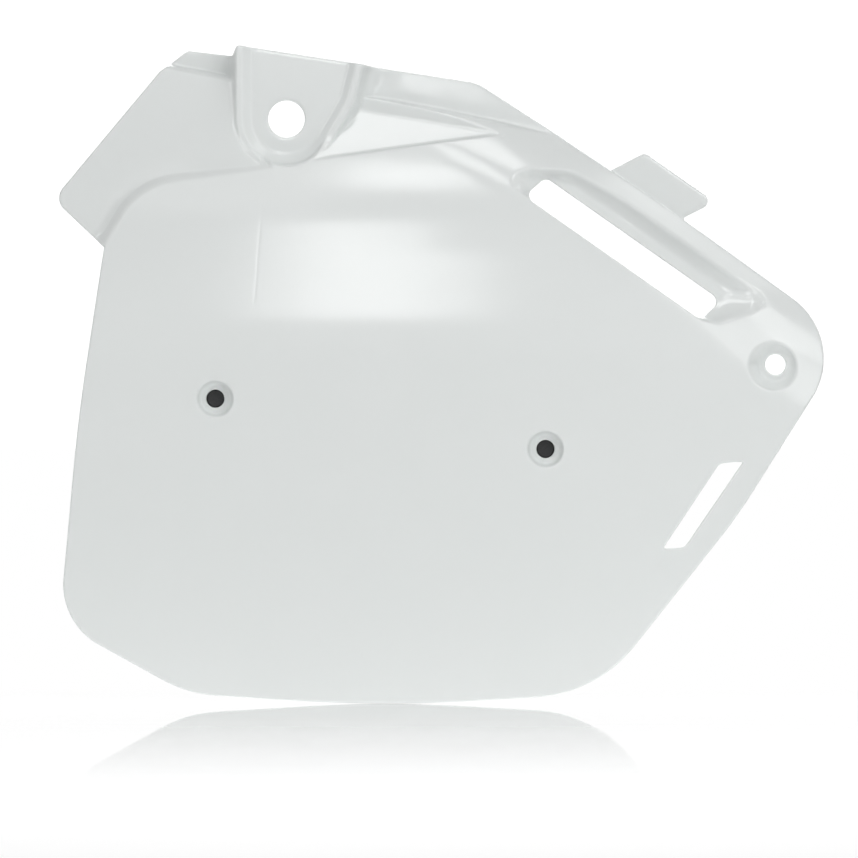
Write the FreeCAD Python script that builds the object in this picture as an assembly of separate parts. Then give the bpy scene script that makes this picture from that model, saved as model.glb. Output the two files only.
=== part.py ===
import FreeCAD, Part
import math
import os

# Left-hand side panel of an off-road motorbike, one thin plastic moulding, in millimetres.
# X runs towards the rear, Y inboard and Z up. The origin is the centre of the front
# mounting hole, on the outer face of its pad. A level is a distance along Y.

# Moulding
wall = 2.5                    # thickness of the skin
mould_depth = 100.0           # the blocks reach this far inboard before they are hollowed
overlap = 6.0                 # a block runs on this far behind the one in front of it
margin = 12.0                 # the blocks run this far past the outline, to be trimmed

# Crown of the skin: levels, vertex radii of its gentle curves and where they begin
crown_level = -29.0           # most outboard level of the skin
side_radius = 2850.0          # bow of the whole panel from front to rear
side_centre = 70.0            # X where that bow is most outboard
top_radius = 273.0            # roll towards the saddle
top_start = -124.0            # Z where that roll begins
bar_radius = 75.0             # roll of the bar above the long slot
bar_start = 30.0              # distance across the bar where that roll begins
rear_radius = 2000.0          # sweep of the rear corner towards the tail
rear_start = 120.0            # X where that sweep begins
crown_pitch = 22.0            # spacing of the points that the crown passes through

# Bar above the long slot, in its own directions: along it to the rear, and across it upwards
bar_angle = 35.2              # fall of the bar towards the rear, degrees
bar_edge = 75.6               # outer edge, across
bar_bow = 1.3                 # the edge's bow at its middle
bar_bow_radius = 620.0
bar_front = 123.3             # front end of the edge, along
bar_middle = 210.9
bar_rear = 307.6              # rear corner of the panel
rear_corner_radius = 38.2

# Outline of the other edges seen from the side: X, Z and corner radius
upper_edge = [
    (-122.1, -42.2, 8.3),     # tip of the front tongue
    (-66.7, 25.2, 0.0),       # top of the tongue's face
    (-52.1, 36.3, 3.0),       # front end of the saddle flange
    (-28.4, 33.4, 0.0),       # foot of the pad
    (-25.8, 38.7, 1.8),       # top of the pad
    (44.5, 27.9, 190.0),      # pad to flange
    (100.1, 19.3, 21.7),      # rear end of the saddle flange
]
lower_edge = [
    (235.5, -208.7, 265.0),   # rear edge
    (162.4, -300.7, 71.2),    # lower rear corner
    (50.0, -307.1, 770.0),    # lower edge
    (-51.2, -300.8, 64.4),    # chamfered lower front corner
    (-118.2, -264.0, 36.1),
    (-108.4, -157.6, 920.0),  # front edge
    (-95.0, -67.7, 0.0),      # front edge meets the tongue
]

# Front tongue: a flat face, set back from the skin by a step
tongue_level = -3.9           # level of its plane at the origin
tongue_sweep = -0.082         # slope of the plane along X
tongue_lean = 0.25            # slope of the plane along Z
step_corner = (-76.6, -35.2)  # corner of the step in side view
step_corner_radius = 38.0
step_angle = 59.5             # rise of the step from the front edge, degrees
step_run = 70.0
step_end = (-20.0, -27.0)     # where the step fades out beside the pad
crease = [(-62.9, 28.0), (-34.2, 22.0)]  # line where the tongue ends below the flange

# Saddle flange: an upright strip along the top
flange_level = 13.0
flange_foot = -30.0           # Z of its hidden lower end

# Lip where the crowned skin ends in front of the flange
lip_front = (37.0, 11.3)
lip_bend = (106.0, -1.4)
lip_bend_radius = 80.0
lip_lead = 3.0                # the lip runs out past the front end of the bar

# Triangular scoop between the pad and the lip
crest = [(15.2, -22.0), (113.7, -8.2)]   # line where the scoop leaves the skin
scoop_top = (34.0, 5.4)       # upper front corner of the scoop
scoop_slope = 0.60            # its floor falls inboard by this much for each unit of Z
crest_points = 9

# Front pad with its mounting hole and the rim round it
hole_radius = 9.7
pad_radius = 23.0
pad_flare = 60.0              # rise of the pad's rear side, degrees
pad_bend = 9.6                # Z where that side turns steeper
pad_bend_rise = 76.0          # its rise above the bend, degrees
pad_bend_radius = 15.0
rim_width = 3.5
rim_level = -4.0

# Long slot and the scooped wall behind it, in the bar's directions
slot_low = 38.4               # edges of the slot, across
slot_high = 53.3
slot_front = 127.0            # ends of the slot, along
slot_rear = 239.5
slot_slant = 1.8              # half the lead of its upper edge over its lower edge
slot_corner = 4.5
mouth_high = 66.5             # edges of the scooped mouth
mouth_front = 116.0
mouth_rear = 260.0
mouth_chamfer = 20.0          # corner cut off the mouth at its upper front
mouth_slant = 18.0            # lead of its upper rear corner over its lower one
pocket_depth = 9.0            # the wall's foot below the mouth
pocket_draft = 1.3            # thickening of the slanted walls
pocket_gap = 1.0              # the lower side of the pocket stays open

# Small slot near the rear edge: X, Z and corner radius
small_slot = [(238.9, -179.7, 0.6), (226.5, -180.7, 5.0), (197.0, -224.9, 0.6), (208.2, -224.5, 5.0)]

# Rear mounting hole in its dished recess
rear_hole = (256.1, -128.9)
rear_hole_radius = 5.4
recess_radius = 12.9
recess_floor_radius = 9.0
recess_depth = 6.5

# Two bosses in shallow dimples, each closed by a rubber plug
bosses = {"front": (-36.8, -146.8), "rear": (135.6, -173.1)}
bore_radius = 4.7
dimple_radius = 9.6
dimple_depth = 6.0
dimple_ledge = 3.0            # flat ring between the dimple's wall and the bore
dish_draft = 1.15             # thickening of the dished walls
boss_length = 16.0
plug_clearance = 0.05
plug_setback = 8.0            # the plug's end below the skin
plug_chamfer = 1.0
plug_head_height = 2.0

# Fastening tab behind the bar, in the bar's directions
tab_front = 154.6             # front end where it leaves the bar, along
tab_rear = 199.6
tab_height = 18.3             # reach beyond the bar's edge
tab_slant = 9.2               # lead of its outer edge
tab_root = 4.5                # length hidden behind the bar
tab_corner = 4.0
tab_setback = 1.2             # its face behind the bar's edge

Vector = FreeCAD.Vector
inboard = Vector(0, 1, 0)
bar_turn = math.radians(bar_angle)
far = 2 * mould_depth


def along_bar(s, u):
    """Side-view point at s along the bar and u across it."""
    return (s * math.cos(bar_turn) + u * math.sin(bar_turn),
            u * math.cos(bar_turn) - s * math.sin(bar_turn))


def on_line(line, x):
    """Side-view point of a straight line at another X."""
    (x0, z0), (x1, z1) = line
    return x, z0 + (z1 - z0) * (x - x0) / (x1 - x0)


# Lines and regions in side view
bar_outline = [
    (*along_bar(bar_front, bar_edge), 0.0),
    (*along_bar(bar_middle, bar_edge + bar_bow), bar_bow_radius),
    (*along_bar(bar_rear, bar_edge), rear_corner_radius),
]
outline = upper_edge + bar_outline + lower_edge
x_low = min(corner[0] for corner in outline) - margin
x_high = max(corner[0] for corner in outline) + margin
z_low = min(corner[1] for corner in outline) - margin
z_high = max(corner[1] for corner in outline) + margin

step_turn = math.radians(step_angle)
step_foot = (step_corner[0] - step_run * math.cos(step_turn), step_corner[1] - step_run * math.sin(step_turn))
inside_pad = (-pad_radius / 4, -pad_radius / 2)
lip_end = along_bar(bar_front + lip_lead, bar_edge + lip_lead / 4)
main_region = [
    (x_low, step_foot[1], 0), (*step_foot, 0), (*step_corner, step_corner_radius),
    (*step_end, 0), (*inside_pad, 0),
    (*on_line([lip_front, lip_bend], pad_radius / 2), 0), (*lip_bend, lip_bend_radius), (*lip_end, 0),
    (x_high, lip_end[1], 0), (x_high, z_low, 0), (x_low, z_low, 0)]
tongue_region = [
    (*on_line(crease, x_low), 0), (*on_line(crease, -pad_radius / 2), 0),
    (*inside_pad, 0), (inside_pad[0], z_low, 0), (x_low, z_low, 0)]
flange_region = [(x_low, flange_foot, 0), (x_low, z_high, 0), (x_high, z_high, 0), (x_high, flange_foot, 0)]

flare = math.radians(pad_flare)
flare_foot = (pad_radius * math.sin(flare), -pad_radius * math.cos(flare))
bend_x = flare_foot[0] + (pad_bend - flare_foot[1]) / math.tan(flare)
pad_region = [
    (-pad_radius, z_high, 0),
    (-pad_radius, flare_foot[1] - (flare_foot[0] + pad_radius) * math.tan(flare), pad_radius),
    (bend_x, pad_bend, pad_bend_radius),
    (bend_x + (z_high - pad_bend) / math.tan(math.radians(pad_bend_rise)), z_high, 0)]


def roll(distance, radius):
    """Fall of a parabolic roll past its beginning."""
    return max(0.0, distance) ** 2 / (2 * radius)


def crown(x, z):
    """Level of the outer skin at a side-view point."""
    across = x * math.sin(bar_turn) + z * math.cos(bar_turn)
    return (crown_level + (x - side_centre) ** 2 / (2 * side_radius)
            + roll(z - top_start, top_radius) + roll(across - bar_start, bar_radius)
            + roll(x - rear_start, rear_radius))


def crown_below(x, z, depth):
    """Level at a depth measured square to the outer skin."""
    slope_x = (crown(x + 0.5, z) - crown(x - 0.5, z))
    slope_z = (crown(x, z + 0.5) - crown(x, z - 0.5))
    return crown(x, z) + depth * math.sqrt(1 + slope_x ** 2 + slope_z ** 2)


def spread(low, high, pitch):
    """Evenly spaced values from low to high, no further apart than pitch."""
    count = math.ceil((high - low) / pitch)
    return [low + (high - low) * i / count for i in range(count + 1)]


def reach(depth):
    """Length of a block; inner blocks go further inboard, so that they empty the outer ones."""
    return mould_depth + (mould_depth if depth else 0)


def crown_block(depth):
    """Solid behind the crowned skin."""
    surface = Part.BSplineSurface()
    surface.interpolate([[Vector(x, crown_below(x, z, depth), z) for z in spread(z_low, z_high, crown_pitch)]
                         for x in spread(x_low, x_high, crown_pitch)])
    return surface.toShape().extrude(inboard * reach(depth))


def flat_block(level, thickness, slope_x=0.0, slope_z=0.0):
    """Solid behind a flat face that covers the whole panel."""
    corners = [(x_low, z_low), (x_high, z_low), (x_high, z_high), (x_low, z_high)]
    ring = [Vector(x, level + slope_x * x + slope_z * z, z) for x, z in corners]
    return Part.Face(Part.makePolygon(ring + ring[:1])).extrude(inboard * thickness)


def rounded_wire(corners, level):
    """Closed wire through side-view corners, each with its own radius."""
    spots = [Vector(x, level, z) for x, z, radius in corners]
    stretches = []
    for i, here in enumerate(spots):
        radius = corners[i][2]
        back = (spots[i - 1] - here).normalize()
        on = (spots[(i + 1) % len(spots)] - here).normalize()
        half = back.getAngle(on) / 2
        run = radius / math.tan(half)
        middle = here + (back + on).normalize() * (radius / math.sin(half) - radius)
        stretches.append((here + back * run, middle, here + on * run))
    edges = []
    for i, (start, middle, end) in enumerate(stretches):
        if corners[i][2] > 0:
            edges.append(Part.Arc(start, middle, end).toShape())
        edges.append(Part.LineSegment(end, stretches[(i + 1) % len(stretches)][0]).toShape())
    return Part.Wire(edges)


def column(corners, low, high, grow=0.0):
    """Prism along the draw of the mould, its sides moved out by grow."""
    face = Part.Face(rounded_wire(corners, low))
    if grow:
        face = face.makeOffset2D(grow, join=2)
    return face.extrude(inboard * (high - low))


def turned(profile, x, z):
    """Solid of revolution about the draw; the profile holds radii and levels."""
    ring = [Vector(x + radius, level, z) for radius, level in profile]
    return Part.Face(Part.makePolygon(ring + ring[:1])).revolve(Vector(x, 0, z), inboard, 360)


def scoop(depth):
    """Block outboard of the scoop's sloping floor. The lip above it is solid behind."""
    fall = Vector(0, scoop_slope, 1)
    drop = depth * math.sqrt(1 + scoop_slope ** 2)
    front, rear = -pad_radius / 2, crest[1][0] + 2 * overlap
    edge = Part.BSplineCurve()
    edge.interpolate([Vector(x, crown(x, z) + drop, z) for x, z in (
        on_line(crest, front + (rear - front) * i / (crest_points - 1)) for i in range(crest_points))])
    edge = edge.toShape()
    edge.translate(fall * -2 * overlap)
    floor = edge.extrude(fall * mould_depth)
    top = [lip_front, lip_bend] if depth else [scoop_top, crest[1]]
    region = [
        (0, crest[0][1] - overlap, 0), (rear, crest[1][1] - overlap, 0),
        (*on_line(top, rear), 0), (*on_line(top, 0), 0)]
    return floor.extrude(inboard * -far).common(column(region, -far, far, depth))


def bar_level(s, u):
    """Flat level through the rim of the scooped mouth."""
    start, middle = mouth_front + mouth_chamfer, (mouth_front + mouth_rear) / 2
    front = crown(*along_bar(start, mouth_high))
    rear = crown(*along_bar(mouth_rear, mouth_high))
    low = crown(*along_bar(middle, slot_low))
    slope_s = (rear - front) / (mouth_rear - start)
    slope_u = (front + slope_s * (middle - start) - low) / (mouth_high - slot_low)
    return front + slope_s * (s - start) + slope_u * (u - mouth_high)


def bar_ring(corners, below):
    """Flat ring at a depth below the mouth's level."""
    ring = []
    for s, u in corners:
        x, z = along_bar(s, u)
        ring.append(Vector(x, bar_level(s, u) + below, z))
    return Part.makePolygon(ring + ring[:1])


def pocket(depth):
    """Funnel from the scooped mouth to the long slot, open along its lower side."""
    side = pocket_draft * depth
    low = slot_low + (pocket_gap if depth else 0)
    nose = 2 * slot_corner
    mouth = [
        (mouth_front - side, low), (mouth_front - side, mouth_high - mouth_chamfer + side / 2),
        (mouth_front + mouth_chamfer - side / 2, mouth_high + side), (mouth_rear + side, mouth_high + side),
        (mouth_rear - mouth_slant + side, low)]
    foot = [
        (slot_front - slot_slant - side, low), (slot_front - side, slot_high - nose + side / 2),
        (slot_front + nose - side / 2, slot_high + side), (slot_rear + slot_slant + side, slot_high + side),
        (slot_rear - slot_slant + side, low)]
    outer = [(2 * s - foot_s, 2 * u - foot_u) for (s, u), (foot_s, foot_u) in zip(mouth, foot)]
    rings = [bar_ring(outer, -pocket_depth - depth), bar_ring(foot, pocket_depth + depth)]
    return Part.makeLoft(rings, True, True)


def dish(x, z, radius, floor_radius, floor_depth, depth):
    """Round recess in the skin with a sloping wall and a flat floor."""
    top = crown(x, z) - floor_depth
    floor = crown(x, z) + floor_depth + depth
    mouth_radius = 2 * radius - floor_radius + dish_draft * depth
    foot_radius = floor_radius + dish_draft * depth
    return turned([(0, top), (mouth_radius, top), (foot_radius, floor), (0, floor)], x, z)


def form(depth):
    """Everything behind the outer surface when that is moved inboard by depth."""
    under_main = column(main_region, -far, far, -depth - overlap)
    under_tongue = column(tongue_region, -far, far, -depth - overlap)
    lean = math.sqrt(1 + tongue_sweep ** 2 + tongue_lean ** 2)

    body = crown_block(depth).common(column(main_region, -far, far, -depth)).cut(scoop(depth))
    tongue = flat_block(tongue_level + depth * lean, reach(depth), tongue_sweep, tongue_lean)
    tongue = tongue.common(column(tongue_region, -far, far, -depth)).cut(under_main)
    flange = flat_block(flange_level + depth, reach(depth)).common(column(flange_region, -far, far))
    flange = flange.cut(under_main).cut(under_tongue)
    rim = column(pad_region, rim_level + depth, rim_level + reach(depth), rim_width - depth)

    body = body.fuse([tongue, flange, rim])
    body = body.cut(column(pad_region, -far, depth, depth))
    body = body.cut(pocket(depth))
    body = body.cut(dish(*rear_hole, recess_radius, recess_floor_radius, recess_depth, depth))
    for x, z in bosses.values():
        body = body.cut(dish(x, z, dimple_radius, bore_radius + dimple_ledge, dimple_depth, depth))
        if depth:
            tube = Part.makeCylinder(bore_radius + depth, boss_length, Vector(x, crown(x, z), z), inboard)
            body = body.cut(tube)
    return body


def long_slot():
    """Through cut of the long slot."""
    ring = [
        (slot_front - slot_slant, slot_low), (slot_front + slot_slant, slot_high),
        (slot_rear + slot_slant, slot_high), (slot_rear - slot_slant, slot_low)]
    return column([(*along_bar(s, u), slot_corner) for s, u in ring], -far, far)


def bore(x, z, radius):
    """Through hole along the draw."""
    return Part.makeCylinder(radius, 2 * far, Vector(x, -far, z), inboard)


def tab_plate():
    """Flat tab that follows the edge of the bar."""
    root, tip = bar_edge - tab_root, bar_edge + tab_height
    lag = tab_slant * tab_root / tab_height
    ring = [
        (tab_front - lag, root, 0), (tab_front + tab_slant, tip, tab_corner),
        (tab_rear + tab_slant, tip, tab_corner), (tab_rear - lag, root, 0)]
    corners = [(*along_bar(s, u), radius) for s, u, radius in ring]
    (x0, z0), (x1, z1) = along_bar(tab_front, bar_edge), along_bar(tab_rear, bar_edge)
    slope = (crown(x1, z1) - crown(x0, z0)) / (x1 - x0)
    level = crown(x0, z0) - slope * x0 + tab_setback
    return flat_block(level, wall, slope).common(column(corners, -far, far))


def side_panel():
    """The moulding: outer form less inner form, trimmed to the outline and pierced."""
    panel = form(0).cut(form(wall)).common(column(outline, -far, far))
    panel = panel.fuse(tab_plate())
    panel = panel.cut(long_slot()).cut(column(small_slot, -far, far))
    panel = panel.cut(bore(0, 0, hole_radius)).cut(bore(*rear_hole, rear_hole_radius))
    for x, z in bosses.values():
        panel = panel.cut(bore(x, z, bore_radius))
    return panel.removeSplitter()


def plug(x, z):
    """Rubber plug pushed into a boss from inboard, its head on the end of the boss."""
    nose = crown(x, z) + plug_setback
    seat = crown(x, z) + boss_length
    stem_radius = bore_radius - plug_clearance
    head_radius = bore_radius + wall
    return turned([
        (0, nose), (stem_radius - plug_chamfer, nose), (stem_radius, nose + plug_chamfer),
        (stem_radius, seat), (head_radius, seat), (head_radius, seat + plug_head_height),
        (0, seat + plug_head_height)], x, z)


os.makedirs("parts", exist_ok=True)
side_panel().exportStep("parts/side_panel.step")
for name, (x, z) in bosses.items():
    plug(x, z).exportStep("parts/" + name + "_plug.step")
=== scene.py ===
import math

import bmesh
import bpy
import numpy as np
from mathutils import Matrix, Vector, kdtree
from mathutils.geometry import delaunay_2d_cdt


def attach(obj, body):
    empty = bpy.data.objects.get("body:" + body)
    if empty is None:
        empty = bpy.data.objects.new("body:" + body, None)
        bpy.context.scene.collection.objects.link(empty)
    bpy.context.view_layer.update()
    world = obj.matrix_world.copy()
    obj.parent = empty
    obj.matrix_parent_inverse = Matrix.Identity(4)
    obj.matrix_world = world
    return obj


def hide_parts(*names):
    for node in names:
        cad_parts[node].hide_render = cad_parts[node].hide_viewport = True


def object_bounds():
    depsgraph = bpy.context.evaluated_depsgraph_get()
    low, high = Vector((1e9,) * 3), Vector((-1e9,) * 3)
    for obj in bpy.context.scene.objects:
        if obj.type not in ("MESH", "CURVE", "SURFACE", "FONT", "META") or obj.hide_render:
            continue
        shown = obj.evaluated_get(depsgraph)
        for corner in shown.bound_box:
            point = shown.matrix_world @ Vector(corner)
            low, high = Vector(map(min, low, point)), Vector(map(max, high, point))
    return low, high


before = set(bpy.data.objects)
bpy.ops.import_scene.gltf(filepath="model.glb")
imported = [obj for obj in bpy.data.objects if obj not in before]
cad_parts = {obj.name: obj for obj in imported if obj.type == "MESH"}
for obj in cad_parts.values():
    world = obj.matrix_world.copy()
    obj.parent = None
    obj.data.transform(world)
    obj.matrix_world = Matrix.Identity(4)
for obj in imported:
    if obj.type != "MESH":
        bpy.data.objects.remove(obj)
cadLow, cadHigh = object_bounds()
scene = bpy.context.scene
scene.view_settings.view_transform = "Standard"
mm = 0.001  # shapes are drawn in millimetres and scaled at the end
tiny = 1e-4  # points closer than this are one
farAway = 1e9
print("frame loaded:", sorted(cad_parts))


# small helpers shared by the pieces

lines = {"arcSteps": 3, "arcTurn": 0.16, "circleSteps": 24, "slack": 0.01}  # finest arcs and circles


def soft(t, width):
    # t where it is positive and 0 elsewhere, rounded over -width..width
    return np.where(t < -width, 0.0, np.where(t > width, t, (t + width) ** 2 / (4 * width)))


def nearer(a, b, width):
    return a - soft(a - b, width)  # the lesser of two levels or distances, with a fillet between them


def deeper(a, b, width):
    return a + soft(b - a, width)  # the greater of two levels, which lies more inboard


def roundedLine(corners, pitch, closed=False):
    # points along corners (x, z, radius) in side view
    spots = [Vector(c[:2]) for c in corners]
    path = []
    for i, here in enumerate(spots):
        radius = corners[i][2]
        if radius == 0 or (not closed and i in (0, len(spots) - 1)):
            path.append(here)
            continue
        back = (spots[i - 1] - here).normalized()
        on = (spots[(i + 1) % len(spots)] - here).normalized()
        half = back.angle(on) / 2
        centre = here + (back + on).normalized() * radius / math.sin(half)
        start = here + back * radius / math.tan(half) - centre
        turn = math.pi - 2 * half
        sweep = math.copysign(turn, start.x * (here - centre).y - start.y * (here - centre).x)
        steps = max(lines["arcSteps"], math.ceil(turn * radius / pitch), math.ceil(turn / lines["arcTurn"]))
        for k in range(steps + 1):
            c, s = math.cos(sweep * k / steps), math.sin(sweep * k / steps)
            path.append(centre + Vector((start.x * c - start.y * s, start.x * s + start.y * c)))
    filled = []
    for a, b in zip(path, path[1:] + path[:1] if closed else path[1:]):
        steps = math.ceil((b - a).length / pitch - lines["slack"])
        filled += [a.lerp(b, k / steps) for k in range(steps)]
    return np.array(filled if closed else filled + path[-1:])


def closedLine(loop):
    return np.vstack([loop, loop[:1]])


def circle(x, z, radius, pitch):
    count = max(lines["circleSteps"], math.ceil(2 * math.pi * radius / pitch))
    turn = np.arange(count) * 2 * math.pi / count
    return np.stack([x + radius * np.cos(turn), z + radius * np.sin(turn)], 1)


def sideRows(line, offsets, closed=False):
    # copies of a line moved to its right
    if closed:
        run = np.roll(line, -1, 0) - np.roll(line, 1, 0)
    else:
        run = np.gradient(line, axis=0)
    run /= np.hypot(run[:, 0], run[:, 1])[:, None]
    right = np.stack([run[:, 1], -run[:, 0]], 1)
    return np.vstack([line + right * offset for offset in offsets])


def distanceTo(line, x, z):
    # distance from a line in side view, positive on its right
    nearest, side = np.full(x.shape, farAway), np.ones(x.shape)
    for (x0, z0), (x1, z1) in zip(line, line[1:]):
        ex, ez = x1 - x0, z1 - z0
        t = np.clip(((x - x0) * ex + (z - z0) * ez) / (ex * ex + ez * ez), 0, 1)
        dx, dz = x - x0 - t * ex, z - z0 - t * ez
        gap = np.hypot(dx, dz)
        closer = gap < nearest - 1 / farAway
        nearest = np.where(closer, gap, nearest)
        side = np.where(closer, np.sign(ez * dx - ex * dz), side)
    return nearest * side


def addObject(bm, name):
    mesh = bpy.data.meshes.new(name)
    bm.to_mesh(mesh)
    bm.free()
    made = bpy.data.objects.new(name, mesh)
    scene.collection.objects.link(made)
    return made


def addPiece(bm, name):
    # a finished shape, brought to metres
    bmesh.ops.recalc_face_normals(bm, faces=bm.faces[:])
    bmesh.ops.scale(bm, vec=(mm, mm, mm), verts=bm.verts[:])
    for face in bm.faces:
        face.smooth = True
    return addObject(bm, name)


# side panel: a flat blank cut to the outline, then pressed to an outer and an inner level

panel = {
    "wall": 2.5, "edgeRadius": 0.9, "pitch": 1.2, "holePitch": 0.8,
    "wallSlope": 3.0, "wallRound": 0.6, "filletSize": 1.2,
    # crown of the number field
    "crownLevel": -29.0, "sideRadius": 2850.0, "sideCentre": 70.0,
    "topRadius": 273.0, "topStart": -124.0, "barRadius": 75.0, "barStart": 30.0,
    "rearRadius": 2000.0, "rearStart": 120.0,
    # bar above the long slot, in its own directions
    "barAngle": 35.2, "barEdge": 75.6, "barBow": 1.3, "barBowRadius": 620.0, "barLead": 4.0,
    "barFront": 123.3, "barMiddle": 210.9, "barRear": 307.6, "rearCornerRadius": 38.2,
    # outline before and after the bar, as corners (x, z, radius)
    "upperEdge": [(-122.1, -42.2, 8.3), (-66.7, 25.2, 0.0), (-52.1, 36.3, 3.0), (-28.4, 33.4, 0.0),
                  (-25.8, 38.7, 1.8), (44.5, 27.9, 190.0), (100.1, 19.3, 21.7)],
    "lowerEdge": [(235.5, -208.7, 265.0), (162.4, -300.7, 71.2), (50.0, -307.1, 770.0),
                  (-51.2, -300.8, 64.4), (-118.2, -264.0, 36.1), (-108.4, -157.6, 920.0),
                  (-95.0, -67.7, 0.0)],
    # front tongue, its step down to the field and its crease at the pad
    "tongueLevel": -3.9, "tongueSweep": -0.082, "tongueLean": 0.25,
    "tongueOverlap": 6.0, "tongueEnd": -3.83,
    "stepLine": [(-112.1, -95.5, 0.0), (-76.6, -35.2, 38.0), (-8.0, -25.3, 0.0), (-5.75, -11.5, 0.0)],
    "stepSlope": 1.0, "stepRound": 1.6, "stepEnd": -2.0,
    "creaseLine": [(-140.0, 44.1, 0.0), (-26.0, 20.3, 3.0), (-27.0, -4.0, 15.0), (-22.3, -15.6, 15.0),
                   (-13.4, -23.4, 10.0), (0.0, -27.2, 0.0)],
    "creaseRound": 1.6,
    # saddle flange, the lip below it and the swollen foot of lip and rim
    "flangeLevel": 13.0, "rimSwell": 0.6, "lipSwell": 3.5, "swellRun": 5.0,
    "lipLine": [(11.5, 16.0, 0.0), (106.0, -1.4, 80.0), (146.8, -9.5, 0.0), (260.0, -88.0, 0.0)],
    "lipSlope": 2.4, "lipRound": 0.8,
    # triangular scoop
    "crest": [(15.2, -22.0), (113.7, -8.2)], "crestRun": 1.1, "crestKeep": 1.5, "crestRound": 0.25,
    "scoopTop": (34.0, 5.4), "scoopSlope": 0.60, "scoopSide": 0.0256,
    "scoopWall": 0.62, "scoopRound": 1.0, "scoopOverlap": 2.0,
    # front pad, its raised rim and its hole
    "padRadius": 23.0, "padFlare": 60.0, "padBend": 9.6, "padBendRise": 76.0, "padBendRadius": 15.0,
    "padTop": 60.0, "padRun": 4.4, "padRound": 1.0,
    "rimWidth": 3.5, "rimLevel": -4.0, "rimFillet": 3.0, "holeRadius": 9.7,
    # long slot, the scooped mouth round it and the pocket's wall, in the bar's directions
    "slotLow": 38.4, "slotHigh": 53.3, "slotFront": 127.0, "slotRear": 239.5,
    "slotSlant": 1.8, "slotCorner": 4.5,
    "mouth": [(119.5, 39.0, 1.5), (114.5, 43.5, 5.0), (118.5, 51.0, 6.0), (138.0, 64.0, 20.0),
              (170.0, 67.0, 60.0), (254.5, 67.5, 6.0), (260.3, 65.5, 2.0), (256.5, 57.0, 20.0),
              (246.5, 42.5, 9.0), (238.5, 39.0, 2.0)],
    "mouthHigh": 66.5, "mouthFront": 116.0, "mouthRear": 260.0, "mouthChamfer": 20.0,
    "pocketDepth": 7.8, "pocketDraft": 1.3, "pocketRun": 3.5, "pocketCurl": 2.2, "pocketRound": 2.6,
    "pocketFoot": 0.5, "pocketRise": -4.0, "pocketMerge": 1.1, "mergeReach": (0.4, 8.0),
    # small slot, rear recess and the two bosses in their dimples
    "smallSlot": [(238.9, -179.7, 0.6), (226.5, -180.7, 5.0), (197.0, -224.9, 0.6), (208.2, -224.5, 5.0)],
    "rearHole": (256.1, -128.9), "rearHoleRadius": 5.4,
    "recessRadius": 12.9, "recessFloor": 9.0, "recessDepth": 6.5,
    "bosses": [(-36.8, -146.8), (135.6, -173.1)], "boreRadius": 4.7, "bossLength": 16.0,
    "bossSlope": 12.0, "bossRound": 0.4, "bossFillet": 0.6,
    "dimpleRadius": 9.6, "dimpleFloor": 7.7, "dimpleDepth": 6.0,
    "dishDraft": 0.5, "dishRound": 0.7, "dishFillet": 0.8,
    # faint sink mark
    "markLine": [(-12.6, -45.5, 0.0), (-16.2, -95.2, 0.0)], "markDepth": 0.02, "markWidth": 0.7,
    # fastening tab behind the bar
    "tabFront": 154.6, "tabRear": 199.6, "tabHeight": 18.3, "tabSlant": 9.2, "tabRoot": 4.5,
    "tabCorner": 4.0, "tabFeet": (0.65, 1.2), "tabFootRadius": 1.2, "tabSetback": 1.2, "tabMargin": 3.0,
    "tabFaceFillet": 0.4, "tabBackFillet": 0.5,
}
barTurn = math.radians(panel["barAngle"])
slotLow, slotHigh = panel["slotLow"], panel["slotHigh"]


def alongBar(s, u):
    return s * math.cos(barTurn) + u * math.sin(barTurn), u * math.cos(barTurn) - s * math.sin(barTurn)


def barPlace(x, z):
    return x * math.cos(barTurn) - z * math.sin(barTurn), x * math.sin(barTurn) + z * math.cos(barTurn)


def barCorner(s, u, radius):
    return (*alongBar(s, u), radius)


def crownLevel(x, z):
    def roll(distance, radius):
        return np.maximum(0.0, distance) ** 2 / (2 * radius)
    across = barPlace(x, z)[1]
    return (panel["crownLevel"] + (x - panel["sideCentre"]) ** 2 / (2 * panel["sideRadius"])
            + roll(z - panel["topStart"], panel["topRadius"])
            + roll(across - panel["barStart"], panel["barRadius"])
            + roll(x - panel["rearStart"], panel["rearRadius"]))


# lines of the panel in side view
pitch = panel["pitch"]
edge, tip = panel["barEdge"], panel["barEdge"] + panel["tabHeight"]
barCorners = [barCorner(panel["barFront"], edge, 0.0),
              barCorner(panel["barMiddle"], edge + panel["barBow"], panel["barBowRadius"]),
              barCorner(panel["barRear"], edge, panel["rearCornerRadius"])]
tabCorners = [barCorner(panel["tabFront"], edge + panel["tabFeet"][0], panel["tabFootRadius"]),
              barCorner(panel["tabFront"] + panel["tabSlant"], tip, panel["tabCorner"]),
              barCorner(panel["tabRear"] + panel["tabSlant"], tip, panel["tabCorner"]),
              barCorner(panel["tabRear"], edge + panel["tabFeet"][1], panel["tabFootRadius"])]
outline = panel["upperEdge"] + barCorners[:1] + tabCorners + barCorners[1:] + panel["lowerEdge"]
slotCorners = [barCorner(panel["slotFront"] - panel["slotSlant"], slotLow, panel["slotCorner"]),
               barCorner(panel["slotRear"] - panel["slotSlant"], slotLow, panel["slotCorner"]),
               barCorner(panel["slotRear"] + panel["slotSlant"], slotHigh, panel["slotCorner"]),
               barCorner(panel["slotFront"] + panel["slotSlant"], slotHigh, panel["slotCorner"])]
slotLine = roundedLine(slotCorners, pitch, True)
loops = [roundedLine(outline, pitch, True), circle(0, 0, panel["holeRadius"], pitch),
         slotLine, roundedLine(panel["smallSlot"], pitch, True),
         circle(*panel["rearHole"], panel["rearHoleRadius"], panel["holePitch"])]
loops += [circle(*place, panel["boreRadius"], panel["holePitch"]) for place in panel["bosses"]]

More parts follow.
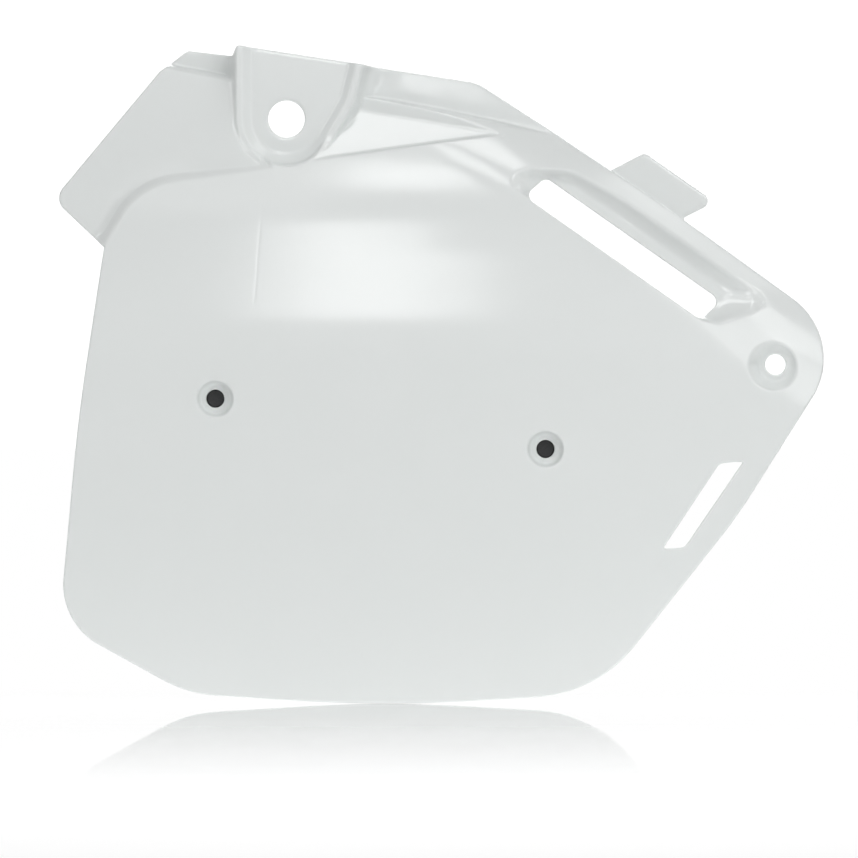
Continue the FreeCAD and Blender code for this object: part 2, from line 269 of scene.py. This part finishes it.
flare, padTop = math.radians(panel["padFlare"]), panel["padTop"]
padFoot = Vector((math.sin(flare), -math.cos(flare))) * panel["padRadius"]
padCornerZ = padFoot.y - (padFoot.x + panel["padRadius"]) * math.tan(flare)
padBendX = padFoot.x + (panel["padBend"] - padFoot.y) / math.tan(flare)
padTopX = padBendX + (padTop - panel["padBend"]) / math.tan(math.radians(panel["padBendRise"]))
padLine = roundedLine([(padTopX, padTop, 0), (padBendX, panel["padBend"], panel["padBendRadius"]),
                       (-panel["padRadius"], padCornerZ, panel["padRadius"]),
                       (-panel["padRadius"], padTop, 0)], pitch)
markLine = roundedLine(panel["markLine"], pitch)
stepLine = roundedLine(panel["stepLine"], pitch)
lipLine = roundedLine(panel["lipLine"], pitch)
mainLine = np.vstack([stepLine, lipLine])
creaseLine = roundedLine(panel["creaseLine"], pitch)
crestLine = roundedLine([(*c, 0) for c in panel["crest"]], pitch)
scoopLine = roundedLine([(*panel["scoopTop"], 0), (*panel["crest"][1], 0)], pitch)
mouthLine = roundedLine([barCorner(*corner) for corner in panel["mouth"]], pitch, True)
mouthTip = np.argmax(barPlace(mouthLine[:, 0], mouthLine[:, 1])[0])
mouthSide = np.vstack([mouthLine[-1:], mouthLine[:mouthTip + 1]])
mouthEnd = mouthLine[mouthTip:]
barStart = barCorner(panel["barFront"] - panel["barLead"], edge, 0.0)
barLine = roundedLine([barStart] + barCorners[1:] + panel["lowerEdge"][:1], pitch)


def crestHeight(x):
    (x0, z0), (x1, z1) = panel["crest"]
    return z0 + (z1 - z0) * (x - x0) / (x1 - x0)


def scoopPlane(x, z):
    x0, z0 = panel["crest"][0]
    return crownLevel(x0, z0) + panel["scoopSide"] * (x - x0) + panel["scoopSlope"] * (z - z0)


def crestDrop(x):
    # gap between the skin and the flat floor of the scoop along the crest
    on = np.clip(x, panel["crest"][0][0], panel["crest"][1][0])
    return np.maximum(scoopPlane(on, crestHeight(on)) - crownLevel(on, crestHeight(on)), 0.0)


def scoopLevel(x, z, depth):
    # flat sloping floor that leaves the skin at the crest and rises again to the lip
    x1, z1 = panel["crest"][1]
    x2, z2 = panel["scoopTop"]
    keep = np.clip(1 - (z - crestHeight(x)) / panel["crestRun"], 0.0, panel["crestKeep"])
    floor = scoopPlane(x, z) - crestDrop(x) * keep + depth * math.sqrt(1 + panel["scoopSlope"] ** 2)
    above = z - z2 - (z1 - z2) * (x - x2) / (x1 - x2)
    ends = np.maximum(crestHeight(x) - panel["scoopOverlap"] - z, x - x1 - panel["scoopOverlap"])
    floor = floor - panel["scoopWall"] * soft(above - depth, panel["scoopRound"])
    return floor - panel["wallSlope"] * soft(ends - depth, panel["wallRound"])


def mouthLevel(s, u):
    # flat level through the rim of the scooped mouth
    start = panel["mouthFront"] + panel["mouthChamfer"]
    middle = (panel["mouthFront"] + panel["mouthRear"]) / 2
    front = crownLevel(*alongBar(start, panel["mouthHigh"]))
    rear = crownLevel(*alongBar(panel["mouthRear"], panel["mouthHigh"]))
    low = crownLevel(*alongBar(middle, slotLow))
    slopeS = (rear - front) / (panel["mouthRear"] - start)
    slopeU = (front + slopeS * (middle - start) - low) / (panel["mouthHigh"] - slotLow)
    return front + slopeS * (s - start) + slopeU * (u - panel["mouthHigh"])


def pocketLevel(x, z, depth):
    # wall that falls from the rim of the scooped mouth to the long slot, steepest at the rim
    s, u = barPlace(x, z)
    side, run = panel["pocketDraft"] * depth, panel["pocketRun"]
    offSide, offEnd = distanceTo(mouthSide, x, z), distanceTo(mouthEnd, x, z)
    merge = panel["pocketMerge"] * np.clip(offSide + offEnd, *panel["mergeReach"])
    inMouth = nearer(offSide, offEnd, merge) + side
    offSlot = np.maximum(distanceTo(closedLine(slotLine), x, z) - side, 0.0)
    foot = (u - slotLow - panel["pocketFoot"]) / run
    share = np.minimum(inMouth / np.maximum(inMouth + offSlot, run), foot)
    fall = 1 - (1 - np.clip(share, panel["pocketRise"], 1.0)) ** panel["pocketCurl"]
    rim = crownLevel(x, z)
    return rim + fall * np.maximum(mouthLevel(s, u) + panel["pocketDepth"] - rim, panel["wall"]) + depth


def dishLevel(x, z, place, radius, floorRadius, dishDepth, depth):
    away = np.hypot(x - place[0], z - place[1])
    slope = dishDepth / (radius - floorRadius)
    floor = crownLevel(*place) + dishDepth + depth
    return floor - slope * soft(away - floorRadius - panel["dishDraft"] * depth, panel["dishRound"])


def bossLevel(x, z, place):
    away = np.hypot(x - place[0], z - place[1]) - panel["boreRadius"] - panel["wall"]
    return crownLevel(*place) + panel["bossLength"] - panel["bossSlope"] * soft(away, panel["bossRound"])


def tabLevel(x):
    x0, z0 = alongBar(panel["tabFront"], edge)
    x1, z1 = alongBar(panel["tabRear"], edge)
    slope = (crownLevel(x1, z1) - crownLevel(x0, z0)) / (x1 - x0)
    return crownLevel(x0, z0) + slope * (x - x0) + panel["tabSetback"]


def offTab(x, z):
    # distance outside the tab, negative on it
    s, u = barPlace(x, z)
    lead = panel["tabSlant"] * (u - edge) / panel["tabHeight"]
    ahead = panel["tabFront"] + lead - panel["tabMargin"] - s
    behind = s - panel["tabRear"] - lead - panel["tabMargin"]
    return np.maximum(np.maximum(ahead, behind), edge - panel["tabRoot"] - u)


def panelLevel(x, z, depth):
    # level of the outer face, or of the inner one when depth is the wall
    steep, rounding, fillet = panel["wallSlope"], panel["wallRound"], panel["filletSize"]
    inBar = distanceTo(barLine, x, z)
    inPad = distanceTo(padLine, x, z)
    inMain = distanceTo(mainLine, x, z)

    # field and scoop, with the walls of the step and the lip above them
    half = 0.5
    slopeX = crownLevel(x + half, z) - crownLevel(x - half, z)
    slopeZ = crownLevel(x, z + half) - crownLevel(x, z - half)
    skin = crownLevel(x, z) + depth * (np.sqrt(1 + slopeX ** 2 + slopeZ ** 2) - 1)
    stepped = panel["stepSlope"] * soft(depth - inMain, panel["stepRound"])
    lipped = panel["lipSlope"] * soft(depth - inMain, panel["lipRound"])
    skin = skin + depth + np.where(x < panel["stepEnd"], stepped, lipped)
    level = deeper(skin, scoopLevel(x, z, depth), panel["crestRound"])

    # tongue and flange, which swell towards the rim and the lip
    nearRim = panel["rimSwell"] * np.exp(np.minimum(inPad + panel["rimWidth"], 0.0) / panel["swellRun"])
    tongue = panel["tongueLevel"] + panel["tongueSweep"] * x + panel["tongueLean"] * z
    tongue = tongue - nearRim * np.maximum(tongue - panel["rimLevel"], 0.0)
    inTongue = np.minimum(distanceTo(creaseLine, x, z), panel["tongueOverlap"] + depth - inMain)
    inTongue = np.minimum(inTongue, panel["tongueEnd"] - x)
    level = nearer(level, tongue + depth + steep * soft(depth - inTongue, panel["creaseRound"]), fillet)
    nearLip = panel["lipSwell"] * np.exp(np.minimum(inMain, 0.0) / panel["swellRun"])
    flange = panel["flangeLevel"] - np.maximum(nearRim * (panel["flangeLevel"] - panel["rimLevel"]), nearLip)
    level = nearer(level, flange + depth, fillet)

    # pad sunk in its raised rim
    rim = panel["rimLevel"] + depth + steep * soft(depth - inPad - panel["rimWidth"], rounding)
    level = nearer(level, rim, panel["rimFillet"])
    padSlope = -panel["rimLevel"] / panel["padRun"]
    padCut = depth - padSlope * soft(panel["padRun"] - depth - inPad, panel["padRound"])
    padCut = padCut - (steep - padSlope) * soft(-depth - inPad, rounding)
    level = deeper(level, padCut, fillet)

    # pocket, recess, dimples and bosses
    level = deeper(level, pocketLevel(x, z, depth), panel["pocketRound"])
    recess = dishLevel(x, z, panel["rearHole"], panel["recessRadius"], panel["recessFloor"],
                       panel["recessDepth"], depth)
    level = deeper(level, recess, panel["dishFillet"])
    for place in panel["bosses"]:
        dimple = dishLevel(x, z, place, panel["dimpleRadius"], panel["dimpleFloor"],
                           panel["dimpleDepth"], depth)
        level = deeper(level, dimple, panel["dishFillet"])
        if depth:
            level = deeper(level, bossLevel(x, z, place), panel["bossFillet"])

    # the tab behind the bar
    tabWall = steep * soft(offTab(x, z), rounding)
    barWall = steep * soft(-inBar, rounding)
    if depth:
        return deeper(level - barWall, tabLevel(x) + depth - tabWall, panel["tabBackFillet"])
    level = level + panel["markDepth"] * np.exp(-(distanceTo(markLine, x, z) / panel["markWidth"]) ** 2)
    return nearer(level + barWall, tabLevel(x) + tabWall, panel["tabFaceFillet"])


blank = {  # rows, rings and grids of points as (first, last, step), and their gap to earlier points
    "edgeRows": (0.2, 0.5, 0.9, 1.9), "edgeGap": 0.12,
    "crestRows": (-3.0, 3.1, 0.5), "bendRows": (-4.05, 4.1, 0.45), "padRows": (-8.0, 6.1, 0.5),
    "bendGap": 0.3,
    "mouthRows": (-2.7, 2.8, 0.6), "mouthGap": 0.35,
    "thinRows": (-1.6, 1.7, 0.4), "thinGap": 0.25,
    "recessRings": (6.0, 18.0, 0.8), "recessPitch": 1.0, "recessGap": 0.3,
    "bossRings": (5.1, 12.0, 0.35), "bossPitch": 0.9, "bossGap": 0.2,
    "barAlong": (112.0, 272.0, 1.3), "barAcross": (36.0, 97.0, 1.3), "barGap": 0.7,
    "fieldWide": (-125.0, 285.0, 4.5), "fieldTall": (-310.0, 45.0, 4.5), "fieldGap": 2.6,
    "lipPoints": 120,  # points of the lip's line that get rows
}


def spreadPoints():
    # rows beside every edge and feature line, rings round the holes, and an even field between
    bends, thin = np.arange(*blank["bendRows"]), np.arange(*blank["thinRows"])
    lip = lipLine[:blank["lipPoints"]]
    sets = [(sideRows(loop, blank["edgeRows"], True), blank["edgeGap"]) for loop in loops]
    sets.append((sideRows(crestLine, np.arange(*blank["crestRows"])), blank["bendGap"]))
    sets += [(sideRows(line, bends), blank["bendGap"]) for line in (stepLine, lip, scoopLine)]
    sets.append((sideRows(mouthLine, np.arange(*blank["mouthRows"]), True), blank["mouthGap"]))
    sets += [(sideRows(line, thin), blank["thinGap"]) for line in (barLine, markLine)]
    sets.append((sideRows(padLine, np.arange(*blank["padRows"])), blank["bendGap"]))
    sets.append((sideRows(creaseLine, bends), blank["bendGap"]))
    for radius in np.arange(*blank["recessRings"]):
        sets.append((circle(*panel["rearHole"], radius, blank["recessPitch"]), blank["recessGap"]))
    for place in panel["bosses"]:
        for radius in np.arange(*blank["bossRings"]):
            sets.append((circle(*place, radius, blank["bossPitch"]), blank["bossGap"]))
    s, u = np.meshgrid(np.arange(*blank["barAlong"]), np.arange(*blank["barAcross"]))
    sets.append((np.stack(alongBar(s.ravel(), u.ravel()), 1), blank["barGap"]))
    wide, tall = np.meshgrid(np.arange(*blank["fieldWide"]), np.arange(*blank["fieldTall"]))
    wide[::2] += blank["fieldWide"][2] / 2
    sets.append((np.stack([wide.ravel(), tall.ravel()], 1), blank["fieldGap"]))
    kept = np.vstack(loops)
    for points, gap in sets:
        tree = kdtree.KDTree(len(kept))
        for i, (x, z) in enumerate(kept):
            tree.insert((x, z, 0.0), i)
        tree.balance()
        fresh = [p for p in points if tree.find((p[0], p[1], 0.0))[2] > gap]
        if fresh:
            kept = np.vstack([kept, fresh])
    return kept


def edgeFall(x, z):
    # rounded edge along the outline and every opening
    radius, gap = panel["edgeRadius"], np.full(x.shape, farAway)
    for loop in loops:
        gap = np.minimum(gap, np.abs(distanceTo(closedLine(loop), x, z)))
    return radius - np.sqrt(radius ** 2 - (radius - np.minimum(gap, radius)) ** 2)


def makePanel():
    points = spreadPoints()
    borders, first = [], 0
    for loop in loops:
        borders += [(first + k, first + (k + 1) % len(loop)) for k in range(len(loop))]
        first += len(loop)
    spots, _, faces, *_ = delaunay_2d_cdt([Vector(p) for p in points], borders, [], 2, tiny)
    bm = bmesh.new()
    inner = [bm.verts.new((p.x, 0.0, p.y)) for p in spots]
    for face in faces:
        bm.faces.new([inner[i] for i in face])
    middles = np.array([face.calc_center_median() for face in bm.faces])
    holes = np.zeros(len(middles), bool)
    for loop in loops[1:]:
        holes |= distanceTo(closedLine(loop), middles[:, 0], middles[:, 2]) < 0
    bmesh.ops.delete(bm, geom=[face for face, hole in zip(bm.faces[:], holes) if hole], context="FACES")
    bmesh.ops.delete(bm, geom=[v for v in bm.verts if not v.link_faces], context="VERTS")
    inner = bm.verts[:]
    made = bmesh.ops.extrude_face_region(bm, geom=bm.faces[:], use_keep_orig=True)
    outer = [v for v in made["geom"] if isinstance(v, bmesh.types.BMVert)]
    for verts, depth in ((outer, 0.0), (inner, panel["wall"])):
        x, z = np.array([v.co.x for v in verts]), np.array([v.co.z for v in verts])
        levels = panelLevel(x, z, depth) + edgeFall(x, z) * (-1 if depth else 1)
        for v, level in zip(verts, levels):
            v.co.y = level
    piece = addPiece(bm, "sidePanel")
    print("side panel pressed:", len(piece.data.polygons), "faces")
    return piece


sidePanel = makePanel()
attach(sidePanel, "root")
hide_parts("side_panel")


# rubber plugs, turned from a half profile of radii and levels behind the skin

plug = {
    "setback": 8.0, "clearance": 0.05, "headHeight": 2.0, "dish": 0.5, "round": 0.45, "turns": 64,
    "noseShares": (0.55, 0.74, 0.82), "backShares": (0.6, 0.5),  # of the stem's and the head's radius
    "dishShare": 0.8, "bendShare": 0.3, "noseShare": 0.4,  # of the dish and of the rounding
}


def makePlug(name, place):
    stem, head = panel["boreRadius"] - plug["clearance"], panel["boreRadius"] + panel["wall"]
    nose, seat, dish = plug["setback"], panel["bossLength"], plug["dish"]
    back = seat + plug["headHeight"]
    soften, bend = plug["round"], plug["round"] * plug["bendShare"]
    middle, rim, land = (stem * share for share in plug["noseShares"])
    shoulder, hollow = (head * share for share in plug["backShares"])
    profile = [(0, nose + dish), (middle, nose + dish * plug["dishShare"]), (rim, nose + bend),
               (land, nose), (stem - soften, nose + soften * plug["noseShare"]),
               (stem - bend, nose + soften), (stem, nose + 2 * soften),
               (stem, seat), (head - soften, seat), (head - bend, seat + bend),
               (head, seat + soften), (head, back - soften), (head - bend, back - bend),
               (head - soften, back), (shoulder, back), (hollow, back - dish), (0, back - dish)]
    level = crownLevel(*place)
    bm = bmesh.new()
    verts = [bm.verts.new((place[0] + radius, level + depth, place[1])) for radius, depth in profile]
    edges = [bm.edges.new(pair) for pair in zip(verts, verts[1:])]
    bmesh.ops.spin(bm, geom=verts + edges, cent=(place[0], 0, place[1]), axis=(0, 1, 0), dvec=(0, 0, 0),
                   angle=2 * math.pi, steps=plug["turns"], use_merge=True)
    bmesh.ops.remove_doubles(bm, verts=bm.verts[:], dist=tiny)
    return addPiece(bm, name)


plugs = []
for name, node, place in zip(("frontPlug", "rearPlug"), ("front_plug", "rear_plug"), panel["bosses"]):
    piece = makePlug(name, place)
    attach(piece, "root")
    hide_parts(node)
    plugs.append(piece)
print("plugs turned:", len(plugs))


# materials

def newMaterial(name):
    material = bpy.data.materials.new(name)
    material.use_nodes = True
    return material, material.node_tree.nodes, material.node_tree.links


def addMath(nodes, operation):
    node = nodes.new("ShaderNodeMath")
    node.operation = operation
    return node


def addNoise(nodes, links, scale, detail):
    # noise fixed to the piece
    place = nodes.new("ShaderNodeTexCoord")
    noise = nodes.new("ShaderNodeTexNoise")
    noise.inputs["Scale"].default_value = scale
    noise.inputs["Detail"].default_value = detail
    links.new(place.outputs["Object"], noise.inputs["Vector"])
    return noise.outputs["Fac"]


def addBlend(nodes, links, share, first, second):
    blend = nodes.new("ShaderNodeMix")
    blend.data_type = "RGBA"
    blend.inputs["A"].default_value = first
    blend.inputs["B"].default_value = second
    links.new(share, blend.inputs["Factor"])
    return blend.outputs["Result"]


whitePlastic = {
    "colour": (0.80, 0.825, 0.818, 1), "tint": (0.78, 0.81, 0.80, 1), "ior": 1.5,
    "driftScale": 14.0, "driftDetail": 3.0, "roughness": 0.12, "roughnessDrift": 0.03,
    "grain": 0.03, "grainScale": 2600.0, "grainDetail": 2.0, "grainDepth": 0.1 * mm,
}


def makeWhitePlastic():
    material, nodes, links = newMaterial("whitePlastic")
    shader = nodes["Principled BSDF"]
    shader.inputs["IOR"].default_value = whitePlastic["ior"]
    drift = addNoise(nodes, links, whitePlastic["driftScale"], whitePlastic["driftDetail"])  # slow
    colour = addBlend(nodes, links, drift, whitePlastic["colour"], whitePlastic["tint"])
    links.new(colour, shader.inputs["Base Color"])
    gloss = nodes.new("ShaderNodeMapRange")
    gloss.inputs["To Min"].default_value = whitePlastic["roughness"] - whitePlastic["roughnessDrift"]
    gloss.inputs["To Max"].default_value = whitePlastic["roughness"] + whitePlastic["roughnessDrift"]
    links.new(drift, gloss.inputs["Value"])
    links.new(gloss.outputs["Result"], shader.inputs["Roughness"])
    grain = addNoise(nodes, links, whitePlastic["grainScale"], whitePlastic["grainDetail"])  # fine
    bump = nodes.new("ShaderNodeBump")
    bump.inputs["Strength"].default_value = whitePlastic["grain"]
    bump.inputs["Distance"].default_value = whitePlastic["grainDepth"]
    links.new(grain, bump.inputs["Height"])
    links.new(bump.outputs["Normal"], shader.inputs["Normal"])
    return material


blackRubber = {
    "colour": (0.012, 0.012, 0.013, 1), "bloom": (0.03, 0.03, 0.031, 1),
    "bloomScale": 900.0, "bloomDetail": 2.0, "roughness": 0.7,
}


def makeBlackRubber():
    material, nodes, links = newMaterial("blackRubber")
    shader = nodes["Principled BSDF"]
    bloom = addNoise(nodes, links, blackRubber["bloomScale"], blackRubber["bloomDetail"])
    colour = addBlend(nodes, links, bloom, blackRubber["colour"], blackRubber["bloom"])
    links.new(colour, shader.inputs["Base Color"])
    shader.inputs["Roughness"].default_value = blackRubber["roughness"]
    return material


sidePanel.data.materials.append(makeWhitePlastic())
rubber = makeBlackRubber()
for piece in plugs:
    piece.data.materials.append(rubber)
print("materials assigned")


# studio: floor, backdrop, lights and camera

studio = {
    "pixel": 0.523 * mm, "imageSize": 858, "holePixel": (286, 118),  # the front hole's place in the picture
    "distance": 4.6, "plane": -14.0 * mm, "sensor": 36.0,
    "floorSize": 60.0, "floorSegments": 8, "floorGap": 0.2 * mm,
    "floorGrey": (0.55, 0.55, 0.55, 1), "floorLift": 0.06, "floorWhite": 0.54,
    "mirror": (0.92, 0.92, 0.92, 1), "reflection": 0.98, "reflectionReach": 1.12,
    "clearBehind": (0.03, 0.3), "clearAhead": (-1.2, -2.0),
    "white": (1, 1, 1, 1), "ambient": 0.12, "backdrop": 1.1,
    "lampTarget": (74.8 * mm, -20.0 * mm, -90.0 * mm),
}


def makeFloor():
    bm = bmesh.new()
    segments = studio["floorSegments"]
    bmesh.ops.create_grid(bm, x_segments=segments, y_segments=segments, size=studio["floorSize"])
    bmesh.ops.translate(bm, vec=(0, 0, cadLow.z - studio["floorGap"]), verts=bm.verts[:])
    floor = addObject(bm, "studioFloor")
    material, nodes, links = newMaterial("paleFloor")
    shader = nodes["Principled BSDF"]
    shader.inputs["Base Color"].default_value = studio["floorGrey"]
    shader.inputs["Roughness"].default_value = 1.0
    shader.inputs["Specular IOR Level"].default_value = 0.0
    shader.inputs["Emission Color"].default_value = studio["white"]
    ray = nodes.new("ShaderNodeLightPath")
    lift = addMath(nodes, "MULTIPLY_ADD")
    links.new(ray.outputs["Is Camera Ray"], lift.inputs[0])
    lift.inputs[1].default_value = studio["floorWhite"]
    lift.inputs[2].default_value = studio["floorLift"]
    links.new(lift.outputs[0], shader.inputs["Emission Strength"])
    mirror = nodes.new("ShaderNodeBsdfGlossy")  # polished floor, its reflection fades away from the panel
    mirror.inputs["Color"].default_value = studio["mirror"]
    mirror.inputs["Roughness"].default_value = 0.0
    place = nodes.new("ShaderNodeTexCoord")
    axes = nodes.new("ShaderNodeSeparateXYZ")
    links.new(place.outputs["Object"], axes.inputs[0])
    off = addMath(nodes, "ABSOLUTE")
    links.new(axes.outputs["Y"], off.inputs[0])
    fade = nodes.new("ShaderNodeMapRange")
    fade.inputs["From Max"].default_value = studio["reflectionReach"]
    fade.inputs["To Min"].default_value = studio["reflection"]
    fade.inputs["To Max"].default_value = 0.0
    links.new(off.outputs[0], fade.inputs["Value"])
    mix = nodes.new("ShaderNodeMixShader")
    links.new(fade.outputs["Result"], mix.inputs[0])
    links.new(shader.outputs[0], mix.inputs[1])
    links.new(mirror.outputs[0], mix.inputs[2])
    clear = addMath(nodes, "MAXIMUM")  # plain white behind the panel and far in front of it
    for k, (start, end) in enumerate((studio["clearBehind"], studio["clearAhead"])):
        ramp = nodes.new("ShaderNodeMapRange")
        ramp.interpolation_type = "SMOOTHSTEP"
        ramp.inputs["From Min"].default_value = start
        ramp.inputs["From Max"].default_value = end
        links.new(axes.outputs["Y"], ramp.inputs["Value"])
        links.new(ramp.outputs["Result"], clear.inputs[k])
    seen = addMath(nodes, "MULTIPLY")
    links.new(ray.outputs["Is Camera Ray"], seen.inputs[0])
    links.new(clear.outputs[0], seen.inputs[1])
    plain = nodes.new("ShaderNodeEmission")
    finish = nodes.new("ShaderNodeMixShader")
    links.new(seen.outputs[0], finish.inputs[0])
    links.new(mix.outputs[0], finish.inputs[1])
    links.new(plain.outputs[0], finish.inputs[2])
    links.new(finish.outputs[0], nodes["Material Output"].inputs["Surface"])
    floor.data.materials.append(material)


def makeWorld():
    world = bpy.data.worlds.new("studioWorld")
    scene.world = world
    world.use_nodes = True
    nodes, links = world.node_tree.nodes, world.node_tree.links
    ambient = nodes["Background"]
    ambient.inputs["Color"].default_value = studio["white"]
    ambient.inputs["Strength"].default_value = studio["ambient"]
    white = nodes.new("ShaderNodeBackground")
    white.inputs["Color"].default_value = studio["white"]
    white.inputs["Strength"].default_value = studio["backdrop"]
    ray = nodes.new("ShaderNodeLightPath")
    seen = addMath(nodes, "MAXIMUM")
    links.new(ray.outputs["Is Camera Ray"], seen.inputs[0])
    links.new(ray.outputs["Is Glossy Ray"], seen.inputs[1])
    mix = nodes.new("ShaderNodeMixShader")
    links.new(seen.outputs[0], mix.inputs[0])
    links.new(ambient.outputs[0], mix.inputs[1])
    links.new(white.outputs[0], mix.inputs[2])
    links.new(mix.outputs[0], nodes["World Output"].inputs["Surface"])


softboxes = {  # elevation and azimuth in degrees, distance, width, height, brightness
    "keyBox": (19.5, -2.75, 1.7, 0.146, 0.69, 5.6),
    "keyLeft": (19.5, -6.6, 1.7, 0.083, 0.69, 3.0),
    "keyRight": (16.0, 1.2, 1.7, 0.09, 0.47, 3.4),
    "upperBox": (41.3, -0.6, 1.7, 0.17, 0.17, 6.8),
    "upperRight": (51.0, 10.0, 1.7, 0.26, 0.20, 5.0),
    "topBox": (64.0, 18.0, 1.6, 0.56, 0.34, 5.0),
    "rightBox": (16.0, 34.0, 1.9, 0.80, 0.95, 2.3),
    "cornerBox": (34.0, 52.0, 1.9, 0.45, 0.60, 3.6),
    "leftBox": (25.0, -65.0, 1.9, 0.50, 0.60, 3.5),
    "frontBox": (45.0, -25.0, 1.8, 1.06, 0.74, 1.0),
    "sideBox": (54.0, 75.0, 2.0, 0.70, 0.60, 1.8),
    "backBox": (35.0, 180.0, 1.8, 1.50, 1.00, 2.2),
}


def makeLights():
    for name, (elevation, azimuth, distance, width, height, bright) in softboxes.items():
        up, turn = math.radians(elevation), math.radians(azimuth)
        away = Vector((math.sin(turn) * math.cos(up), -math.cos(turn) * math.cos(up), math.sin(up)))
        lamp = bpy.data.lights.new(name, "AREA")
        lamp.shape = "RECTANGLE"
        lamp.size, lamp.size_y = width, height
        lamp.energy = bright * math.pi * width * height
        light = bpy.data.objects.new(name, lamp)
        light.location = Vector(studio["lampTarget"]) + away * distance
        light.rotation_euler = away.to_track_quat("Z", "Y").to_euler()
        scene.collection.objects.link(light)


def makeCamera():
    middle, (holeX, holeZ) = studio["imageSize"] / 2, studio["holePixel"]
    camera = bpy.data.cameras.new("camera")
    camera.sensor_width = studio["sensor"]
    camera.lens = studio["sensor"] * studio["distance"] / (studio["pixel"] * studio["imageSize"])
    eye = bpy.data.objects.new("camera", camera)
    eye.location = ((middle - holeX) * studio["pixel"], studio["plane"] - studio["distance"],
                    (holeZ - middle) * studio["pixel"])
    eye.rotation_euler = (math.radians(90), 0, 0)
    scene.collection.objects.link(eye)
    scene.camera = eye


makeFloor()
makeWorld()
makeLights()
makeCamera()
print("studio ready")
